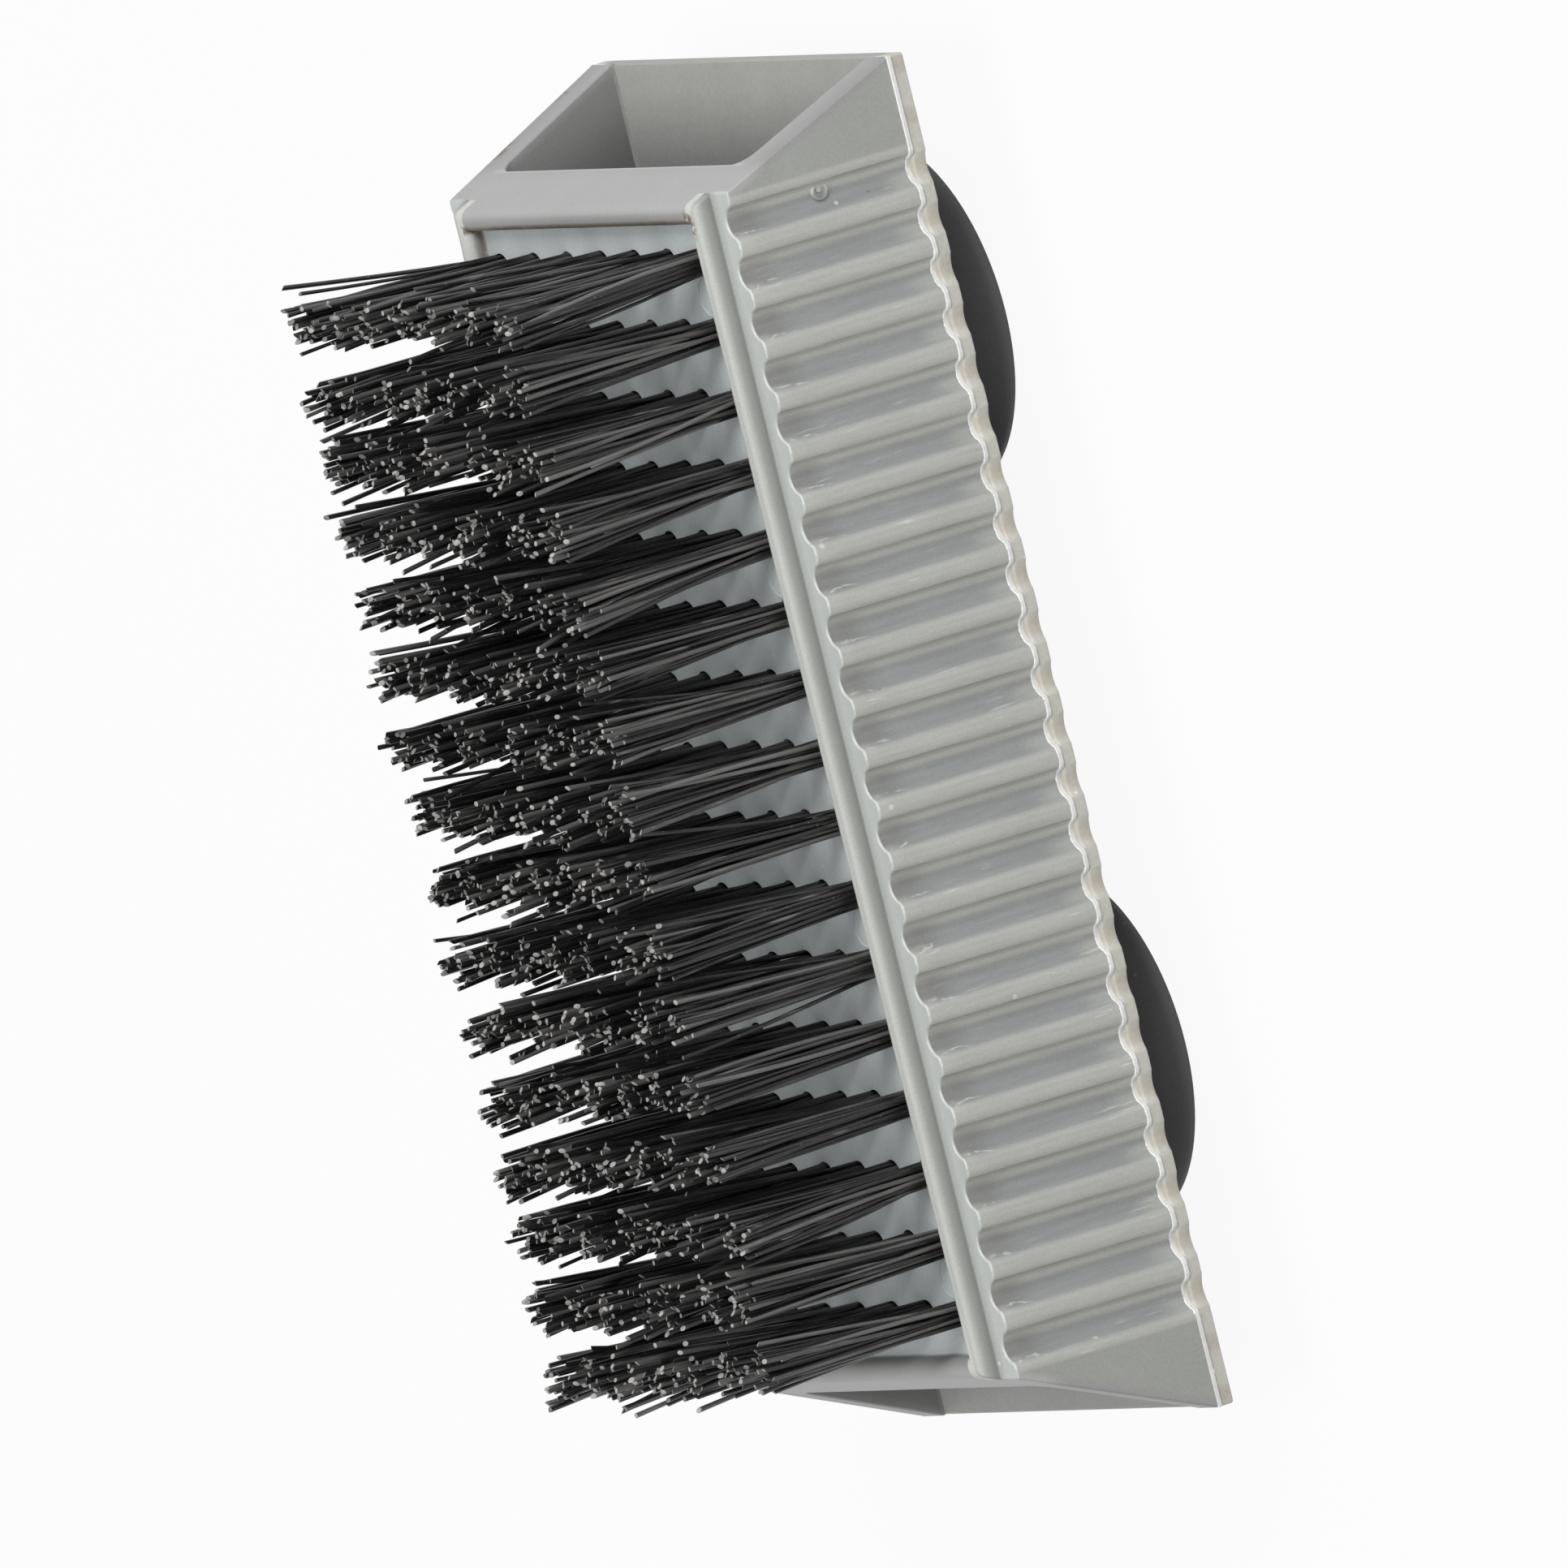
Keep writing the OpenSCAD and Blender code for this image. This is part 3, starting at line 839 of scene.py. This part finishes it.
def make_materials(scene):
    """Builds the shared effects once and every finish from them."""
    if "moulded_grey" in bpy.data.materials:
        return
    grain, specks, scuffs = grain_group(), speck_group(), scuff_group()
    block_plastic(scene.brush_block, grain, specks, scuffs)
    plate_plastic(scene.brush_plate, grain, specks)
    dried_glue(scene.brush_plate, grain, "dried_glue", 0.0)
    dried_glue(scene.brush_plate, grain, "thin_glue", 0.3)
    black_nylon(scene.brush_bristles, scuffs)
    cut_nylon(scene.brush_bristles)
    staple_steel()
    cup_rubber(scene.brush_cups, grain, specks)


def finish_of(name):
    make_materials(bpy.context.scene)
    return bpy.data.materials[name]


# ---------------------------------------------------------------- the pieces


class BRUSH_OT_block(Operator):
    """Models the grip block with its rounded rim, lips and slanted ends"""

    bl_idname = "brush.block"
    bl_label = "Grip block"

    def execute(self, context):
        s = context.scene.brush_block
        block = copy_of_node("brush_block", "grip_block")
        slice_across(block, FLUTE_BOUNDS)
        slice_ends(block, (CEILING_Z, LEDGE_Z))

        def radius_of(middle, normals):
            y, x = abs(middle.y), abs(middle.x)
            at_end = any(abs(n.x) > 0.9 and n.z > 0.2 for n in normals)
            if abs(middle.z - RIM_Z) < NEAR:
                return s.end_rim_round if at_end or x > RECESS_HALF_L - NEAR else s.rim_round
            if middle.z < SEAM_Z + NEAR:
                return 0
            if abs(middle.z - LEDGE_Z) < NEAR and y < RIM_HALF_W + NEAR and not at_end:
                return s.ledge_fillet
            if abs(middle.z - LEDGE_Z) < NEAR and not at_end:
                return s.lip_round
            if at_end and middle.z < LEDGE_Z - NEAR and any(abs(n.y) > 0.8 for n in normals):
                outside = y > BACK_HALF_W - (middle.z - SEAM_Z) * FLANK_LEAN - 1 * MM
                return s.outer_end_round if outside else s.end_round
            if at_end:
                return s.end_round
            in_recess = middle.z > FLOOR_Z - NEAR and y < RIM_HALF_W
            at_wall = abs(y - RECESS_HALF_W) < NEAR or abs(x - RECESS_HALF_L) < NEAR
            if in_recess and at_wall:
                return s.floor_fillet
            return 0

        round_edges(block, radius_of)
        wear(block, finish_of("moulded_grey"))
        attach(block, "block")
        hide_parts("brush_block")
        return {"FINISHED"}


class BRUSH_OT_plate(Operator):
    """Models the back plate with its softened, scalloped edges"""

    bl_idname = "brush.plate"
    bl_label = "Back plate"

    def execute(self, context):
        s = context.scene.brush_plate
        plate = copy_of_node("back_plate", "closing_plate")
        slice_across(plate, FLUTE_BOUNDS)

        def radius_of(middle, normals):
            level = abs(middle.z - PLATE_LOW.z) < NEAR or abs(middle.z - PLATE_HIGH.z) < NEAR
            outside = abs(middle.y) > BACK_HALF_W - 1 * MM or abs(middle.x) > PLATE_HIGH.x - NEAR
            if outside and (level or abs(middle.x) > PLATE_HIGH.x - NEAR):
                return s.edge_round
            return 0

        round_edges(plate, radius_of, segments=3)
        wear(plate, finish_of("plate_grey"))
        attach(plate, "block")
        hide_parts("back_plate")
        return {"FINISHED"}


def seam_edge(side):
    """Points along the foot of the block's flank on that side, from end to end."""
    points = {}
    for v in frame["nodes"]["brush_block"].data.vertices:
        if abs(v.co.z - SEAM_Z) < NEAR and v.co.y * side > BACK_HALF_W - 1.6 * MM:
            points[round(v.co.x, 6)] = v.co.y
    return [Vector((x, points[x], SEAM_Z)) for x in sorted(points)]


class BRUSH_OT_glue(Operator):
    """Models the lumpy glue bead that runs along both seams, with the drop at one end"""

    bl_idname = "brush.glue"
    bl_label = "Glue bead"

    def execute(self, context):
        s = context.scene.brush_plate
        rng = random.Random(5)
        ribbon = frame["nodes"]["glue_seam"]
        wear(ribbon, finish_of("thin_glue"))
        bead_z = (PLATE_HIGH.z + SEAM_Z) / 2 + 0.1 * MM
        for side, name in ((-1, "glue_bead_front"), (1, "glue_bead_rear")):
            edge = seam_edge(side)
            line = bpy.data.curves.new(name, "CURVE")
            line.dimensions = "3D"
            line.bevel_depth = s.bead_r
            line.bevel_resolution = 1
            line.use_fill_caps = True
            spline = line.splines.new("POLY")
            spline.points.add(len(edge) - 1)
            swell = 1.0
            for point, at in zip(spline.points, edge):
                loose = max(0.0, min(1.0, (LOOSE_FROM_X - at.x) / (6 * MM)))
                swell += (rng.uniform(0.8, 1.2) - swell) * 0.3
                point.co = (at.x, at.y + side * rng.gauss(-0.06, 0.02 + 0.05 * loose) * MM,
                            bead_z + rng.gauss(0, 0.015 + 0.04 * loose) * MM, 1)
                point.radius = min(1.0 + 0.3 * loose, swell * (1 + 0.35 * loose))
            tube = bpy.data.objects.new(name, line)
            context.scene.collection.objects.link(tube)
            pick(tube)
            bpy.ops.object.convert(target="MESH")
            bead = smooth(fresh(name), 60)
            wear(bead, finish_of("dried_glue"))
            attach(bead, "block")
        start_empty()
        bpy.ops.mesh.primitive_ico_sphere_add(
            subdivisions=3, radius=0.32 * MM, location=DROP_PLACE)
        drop = fresh("glue_drop")
        edit_all()
        bpy.ops.transform.resize(value=(1.15, 0.95, 0.9))
        bpy.ops.transform.vertex_random(offset=0.03 * MM, seed=3)
        settle(drop)
        smooth(drop, 60)
        wear(drop, finish_of("dried_glue"))
        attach(drop, "block")
        return {"FINISHED"}


def filament_pattern():
    """One upright filament of unit height and radius, as points, faces and its cut-end faces."""
    start_empty()
    bpy.ops.mesh.primitive_cylinder_add(vertices=8, radius=1.0, depth=1.0,
                                        end_fill_type="NGON", location=(0, 0, 0.5))
    pattern = settle(fresh("filament_pattern"))
    bpy.ops.object.mode_set(mode="EDIT")
    choose(pattern, "EDGE", lambda e: abs(e.verts[0].co.z - e.verts[1].co.z) > 0.5)
    bpy.ops.mesh.subdivide(number_cuts=4)
    choose(pattern, "FACE", lambda f: f.normal.z > 0.9)
    bpy.ops.transform.resize(value=(1.1, 1.1, 1.0))
    bpy.ops.mesh.inset(thickness=0.42)
    leave_edit()
    points = np.array([v.co for v in pattern.data.vertices])
    faces = [tuple(p.vertices) for p in pattern.data.polygons]
    ends = [p.center.z > 0.99 for p in pattern.data.polygons]
    bpy.data.objects.remove(pattern)
    return points, faces, ends


def packed_disc(count, radius):
    """That many places spread evenly over a disc of that radius, from its middle outwards."""
    turn = math.pi * (3 - math.sqrt(5))
    return [Vector((math.cos(k * turn), math.sin(k * turn))) * radius * math.sqrt((k + 0.5) / count)
            for k in range(count)]


def scatter(rng, spread_x, spread_y):
    """A random shift across the tuft, with those spreads in millimetres."""
    return Vector((rng.gauss(0, spread_x), rng.gauss(0, spread_y))) * MM


def filament_points(rng, s, pattern, place, spin, wander, centre):
    """The pattern's points moved into one filament that starts at that place of its tuft."""
    step = np.rint(pattern[:, 2] * (len(FILAMENT_LEVELS) - 1)).astype(int)
    at_tip = step == len(FILAMENT_LEVELS) - 1
    middle = np.hypot(pattern[:, 0], pattern[:, 1]) < 0.8
    dome = np.where(middle & at_tip, 0.25, 0.0)
    foot = Matrix.Rotation(spin, 2) @ place
    foot += scatter(rng, 0.03, 0.03)
    reach = foot * s.splay * rng.uniform(0.5, 1.25) + wander
    reach += scatter(rng, 0.7, 0.3)
    short = rng.triangular(0.0, 3.0, 1.3) * MM
    if rng.random() < s.stray:
        angle = rng.uniform(0, 2 * math.pi)
        away = rng.uniform(1.2, 3.6) * MM
        reach += Vector((math.cos(angle), math.sin(angle))) * away
        short *= 0.6
    tip_z = TIP_Z - 0.15 * MM - short
    bow = scatter(rng, 0.22, 0.22)
    r = s.filament_d / 2 * rng.choice((0.78, 0.92, 1.0, 1.0, 1.06))
    turn, slope = rng.uniform(0, 2 * math.pi), rng.uniform(0.1, 1.1)
    oblique = slope * (pattern[:, 0] * math.cos(turn) + pattern[:, 1] * math.sin(turn) - 1)
    z = ROOT_Z + FILAMENT_LEVELS[step] * (tip_z - ROOT_Z)
    z += r * np.where(at_tip, dome + oblique, 0.0)
    rise = np.clip((z - FLOOR_Z) / (TIP_Z - FLOOR_Z), 0, 1)
    shift = rise ** 1.2
    arch = 4 * rise * (1 - rise)
    return np.column_stack((
        centre[0] + foot.x + reach.x * shift + bow.x * arch + pattern[:, 0] * r,
        centre[1] + foot.y + reach.y * shift + bow.y * arch + pattern[:, 1] * r,
        z))


class BRUSH_OT_tufts(Operator):
    """Grows every row of tufts, filament by filament, with cut ends and a few strays"""

    bl_idname = "brush.tufts"
    bl_label = "Bristle rows"

    def execute(self, context):
        s = context.scene.brush_bristles
        rng = random.Random(s.seed)
        pattern, faces, ends = filament_pattern()
        places = packed_disc(s.per_tuft, HOLE_R - s.filament_d / 2)
        for row, row_x in zip(TUFT_ROWS, ROW_X):
            points, shades = [], []
            for j in range(TUFTS_PER_ROW):
                tuft_y = (j - (TUFTS_PER_ROW - 1) / 2) * TUFT_PITCH
                wander = Vector((rng.gauss(0, s.lean), rng.gauss(0, s.lean)))
                spin = rng.uniform(0, 2 * math.pi)
                for place in places:
                    points.append(filament_points(rng, s, pattern, place, spin, wander,
                                                  (row_x, tuft_y)))
                    shades.append(rng.random())
            count = len(pattern)
            all_faces = [tuple(v + k * count for v in f)
                         for k in range(len(points)) for f in faces]
            mesh = bpy.data.meshes.new("bristles_" + row[-2:])
            mesh.from_pydata(np.concatenate(points).tolist(), [], all_faces)
            tone = mesh.attributes.new("filament_shade", "FLOAT", "FACE")
            tone.data.foreach_set("value", np.repeat(shades, len(faces)).astype(np.float32))
            mesh.update()
            bristles = bpy.data.objects.new(mesh.name, mesh)
            context.scene.collection.objects.link(bristles)
            wear(bristles, finish_of("black_nylon"), finish_of("cut_nylon"))
            is_end = np.tile(ends, len(points)).astype(np.int32)
            mesh.polygons.foreach_set("material_index", is_end)
            smooth(bristles, 35)
            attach(bristles, "block")
            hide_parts(row)
        return {"FINISHED"}


class BRUSH_OT_staples(Operator):
    """Gives the anchor staples their steel"""

    bl_idname = "brush.staples"
    bl_label = "Staples"

    def execute(self, context):
        for row in STAPLE_ROWS:
            wear(frame["nodes"][row], finish_of("staple_steel"))
        return {"FINISHED"}


def turned(name, axis_x, rings):
    """A closed round piece about an upright axis: a disc extruded from ring to ring."""
    radius, level = rings[0]
    start_empty()
    bpy.ops.mesh.primitive_circle_add(vertices=96, radius=radius, fill_type="NGON",
                                      location=(axis_x, 0, level))
    piece = settle(fresh(name))
    bpy.ops.object.mode_set(mode="EDIT")
    choose(piece, "EDGE", lambda e: True)
    for next_radius, next_level in rings[1:]:
        bpy.ops.mesh.extrude_edges_move(
            TRANSFORM_OT_translate={"value": (0, 0, next_level - level)})
        share = next_radius / radius
        bpy.ops.transform.resize(value=(share, share, 1), center_override=(axis_x, 0, next_level))
        radius, level = next_radius, next_level
    bpy.ops.mesh.edge_face_add()
    bpy.ops.mesh.select_all(action="SELECT")
    bpy.ops.mesh.normals_make_consistent(inside=False)
    leave_edit()
    return piece


def cup_rings(cup_r, top_z, soft):
    """The radius and height of each ring of a cup, from inside its hollow to its head's top."""
    hollow_r, hollow_h = cup_r - 1 * MM, 5.2 * MM
    edge_h, bell_h, collar_r = 0.6 * MM, 7.2 * MM, 6.5 * MM
    neck_r, head_r = 4 * MM, 6 * MM
    seat_z, head_z = PLATE_LOW.z, PLATE_HIGH.z + 0.1 * MM
    hollow = [(hollow_r * k / 14, hollow_h * (1 - (k / 14) ** 2)) for k in range(1, 15)]
    lip = [(cup_r - soft, 0), (cup_r - soft * 0.3, soft * 0.3), (cup_r, soft),
           (cup_r, edge_h - soft), (cup_r - soft * 0.3, edge_h)]
    bell = [(cup_r + (collar_r - cup_r) * (k / 16),
             edge_h + (bell_h - edge_h) * (1 - (1 - k / 16) ** 1.3)) for k in range(1, 17)]
    collar = [(collar_r, bell_h + 0.3 * MM), (collar_r, seat_z - 0.2 * MM),
              (collar_r - 0.15 * MM, seat_z)]
    neck = [(neck_r, seat_z), (neck_r, head_z)]
    head = [(head_r - 0.15 * MM, head_z), (head_r, head_z + 0.2 * MM),
            (head_r, head_z + 1 * MM), (head_r - 0.3 * MM, head_z + 1.4 * MM),
            (neck_r + 0.2 * MM, top_z - 0.2 * MM), (neck_r - 0.2 * MM, top_z), (1 * MM, top_z)]
    return [(0.4 * MM, hollow_h)] + hollow + lip + bell + collar + neck + head


class BRUSH_OT_cups(Operator):
    """Turns the two suction cups, each with its bell, collar, neck and head"""

    bl_idname = "brush.cups"
    bl_label = "Suction cups"

    def execute(self, context):
        s = context.scene.brush_cups
        for body, side in (("cup_1", "left"), ("cup_2", "right")):
            low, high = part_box("suction_" + body)
            rings = cup_rings((high.x - low.x) / 2, high.z, s.lip_round)
            cup = turned("cup_" + side, (low.x + high.x) / 2, rings)
            smooth(cup, 40)
            wear(cup, finish_of("charcoal_rubber"))
            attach(cup, body)
            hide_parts("suction_" + body)
        return {"FINISHED"}


class BRUSH_OT_marks(Operator):
    """Models the moulding marks: ejector rings in the recess and the gate ring in a flute"""

    bl_idname = "brush.marks"
    bl_label = "Moulding marks"

    def execute(self, context):
        for side in (-1, 1):
            for n, gap in enumerate(PIN_GAPS):
                x = (ROW_X[gap] + ROW_X[gap + 1]) / 2
                start_empty()
                bpy.ops.mesh.primitive_torus_add(
                    major_radius=1.8 * MM, minor_radius=0.12 * MM, major_segments=40,
                    minor_segments=6, location=(x, side * (RECESS_HALF_W - 2.3 * MM), FLOOR_Z))
                mark = settle(fresh(f"pin_ring_{'front' if side < 0 else 'rear'}_{n + 1}"))
                smooth(mark, 60)
                wear(mark, finish_of("moulded_grey"))
                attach(mark, "block")
        self.gate()
        return {"FINISHED"}

    def gate(self):
        """The round scar with a raised dot where the mould was filled, in the last flute."""
        start_empty()
        bpy.ops.mesh.primitive_cylinder_add(
            vertices=32, radius=0.85 * MM, depth=0.8 * MM, rotation=(math.pi / 2, 0, 0),
            location=GATE_PLACE)
        gate = settle(fresh("gate_mark"))
        bpy.ops.object.mode_set(mode="EDIT")
        choose(gate, "FACE", lambda f: f.normal.y < -0.9)
        bpy.ops.mesh.inset(thickness=0.07 * MM, depth=0.12 * MM)
        bpy.ops.mesh.inset(thickness=0.16 * MM, depth=0)
        bpy.ops.mesh.inset(thickness=0.10 * MM, depth=-0.24 * MM)
        bpy.ops.mesh.inset(thickness=0.22 * MM, depth=0)
        bpy.ops.transform.translate(value=(0.12 * MM, 0, 0.08 * MM))
        bpy.ops.mesh.inset(thickness=0.06 * MM, depth=0.20 * MM)
        leave_edit()
        smooth(gate, 30)
        wear(gate, finish_of("moulded_grey"))
        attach(gate, "block")


# ---------------------------------------------------------------- floor, lamps and camera


def aim(thing, target):
    """Points a lamp's -Z axis at the target."""
    thing.rotation_euler = (target - thing.location).to_track_quat("-Z", "Y").to_euler()


class BRUSH_OT_stage(Operator):
    """Sets the white floor, the soft lamps, the world and the camera"""

    bl_idname = "brush.stage"
    bl_label = "Stage"

    def execute(self, context):
        scene = context.scene
        s = scene.brush_stage
        start_empty()
        bpy.ops.mesh.primitive_plane_add(size=FLOOR_WIDTH, location=(0, 0, 0))
        floor = fresh("floor")
        wear(floor, self.floor_white(s))
        self.lamp("key", KEY_PLACE, KEY_WIDTH, s.key)
        self.lamp("top", TOP_PLACE, TOP_WIDTH, s.top)
        self.world(scene, s)
        self.camera(scene, s)
        scene.view_settings.view_transform = "Standard"
        return {"FINISHED"}

    def floor_white(self, s):
        """Plain white that keeps a soft shadow and shows as white to the camera."""
        material, shader, t = new_material("floor_white")
        shader.inputs["Base Color"].default_value = (*s.floor, 1)
        shader.inputs["Roughness"].default_value = 0.9
        glow = t.add("ShaderNodeEmission", {"Color": (1, 1, 1, 1), "Strength": 1.0})
        both = t.add("ShaderNodeMixShader", {0: t.times(t.seen_directly(), 0.93),
                                             1: shader.outputs["BSDF"],
                                             2: glow.outputs["Emission"]})
        t.feed(material.node_tree.nodes["Material Output"].inputs["Surface"],
               both.outputs["Shader"])
        return material

    def lamp(self, name, place, width, power):
        """A square soft lamp of that width in metres, aimed at the brush."""
        data = bpy.data.lights.new(name, "AREA")
        data.shape = "SQUARE"
        data.size = width
        data.energy = power
        lamp = bpy.data.objects.new(name, data)
        lamp.location = place
        bpy.context.scene.collection.objects.link(lamp)
        aim(lamp, LAMP_TARGET)

    def world(self, scene, s):
        """A dim white sky for the light, which shows as plain white to the camera."""
        world = bpy.data.worlds.new("soft_white")
        world.use_nodes = True
        t = Tree(world.node_tree)
        back = world.node_tree.nodes["Background"]
        back.inputs["Color"].default_value = (1, 1, 1, 1)
        back.inputs["Strength"].default_value = s.sky
        white = t.add("ShaderNodeBackground", {"Color": (1, 1, 1, 1), "Strength": 1.0})
        both = t.add("ShaderNodeMixShader", {0: t.seen_directly(), 1: back.outputs["Background"],
                                             2: white.outputs["Background"]})
        t.feed(world.node_tree.nodes["World Output"].inputs["Surface"], both.outputs["Shader"])
        scene.world = world

    def camera(self, scene, s):
        """A parallel view from in front of and above the brush, rolled onto its side."""
        data = bpy.data.cameras.new("camera")
        data.type = "ORTHO"
        data.ortho_scale = s.across
        data.clip_end = CAMERA_REACH
        camera = bpy.data.objects.new("camera", data)
        turn = (Matrix.Rotation(CAMERA_AZIMUTH, 3, "Z")
                @ Matrix.Rotation(math.pi / 2 - CAMERA_ELEVATION, 3, "X")
                @ Matrix.Rotation(CAMERA_ROLL, 3, "Z"))
        place = VIEW_CENTRE + turn.col[2] * s.away
        camera.matrix_world = Matrix.Translation(place) @ turn.to_4x4()
        scene.collection.objects.link(camera)
        scene.camera = camera


class BRUSH_PT_panel(Panel):
    """Lists the brush's pieces and their sizes in the sidebar"""

    bl_idname = "BRUSH_PT_panel"
    bl_label = "Groove brush"
    bl_space_type = "VIEW_3D"
    bl_region_type = "UI"
    bl_category = "Brush"

    def draw(self, context):
        for group, operators in PANEL_ROWS:
            box = self.layout.box()
            settings = getattr(context.scene, group)
            for name in settings.bl_rna.properties.keys():
                if name not in {"rna_type", "name"}:
                    box.prop(settings, name)
            for operator in operators:
                box.operator(operator.bl_idname)


PANEL_ROWS = (
    ("brush_block", (BRUSH_OT_block, BRUSH_OT_marks)),
    ("brush_plate", (BRUSH_OT_plate, BRUSH_OT_glue)),
    ("brush_bristles", (BRUSH_OT_tufts, BRUSH_OT_staples)),
    ("brush_cups", (BRUSH_OT_cups,)),
    ("brush_stage", (BRUSH_OT_stage,)),
)
SETTINGS = (
    ("brush_block", BRUSH_PG_block),
    ("brush_plate", BRUSH_PG_plate),
    ("brush_bristles", BRUSH_PG_bristles),
    ("brush_cups", BRUSH_PG_cups),
    ("brush_stage", BRUSH_PG_stage),
)
CLASSES = (
    BRUSH_PG_block, BRUSH_PG_plate, BRUSH_PG_bristles, BRUSH_PG_cups, BRUSH_PG_stage,
    BRUSH_OT_block, BRUSH_OT_marks, BRUSH_OT_plate, BRUSH_OT_glue, BRUSH_OT_tufts,
    BRUSH_OT_staples, BRUSH_OT_cups, BRUSH_OT_stage, BRUSH_PT_panel,
)


def register():
    for made in CLASSES:
        bpy.utils.register_class(made)
    for name, kind in SETTINGS:
        setattr(bpy.types.Scene, name, PointerProperty(type=kind))


def unregister():
    for name, _ in SETTINGS:
        delattr(bpy.types.Scene, name)
    for made in reversed(CLASSES):
        bpy.utils.unregister_class(made)


def main():
    register()
    bpy.ops.brush.block()
    bpy.ops.brush.marks()
    bpy.ops.brush.plate()
    bpy.ops.brush.glue()
    bpy.ops.brush.tufts()
    bpy.ops.brush.staples()
    bpy.ops.brush.cups()
    bpy.ops.brush.stage()


if __name__ == "__main__":
    main()
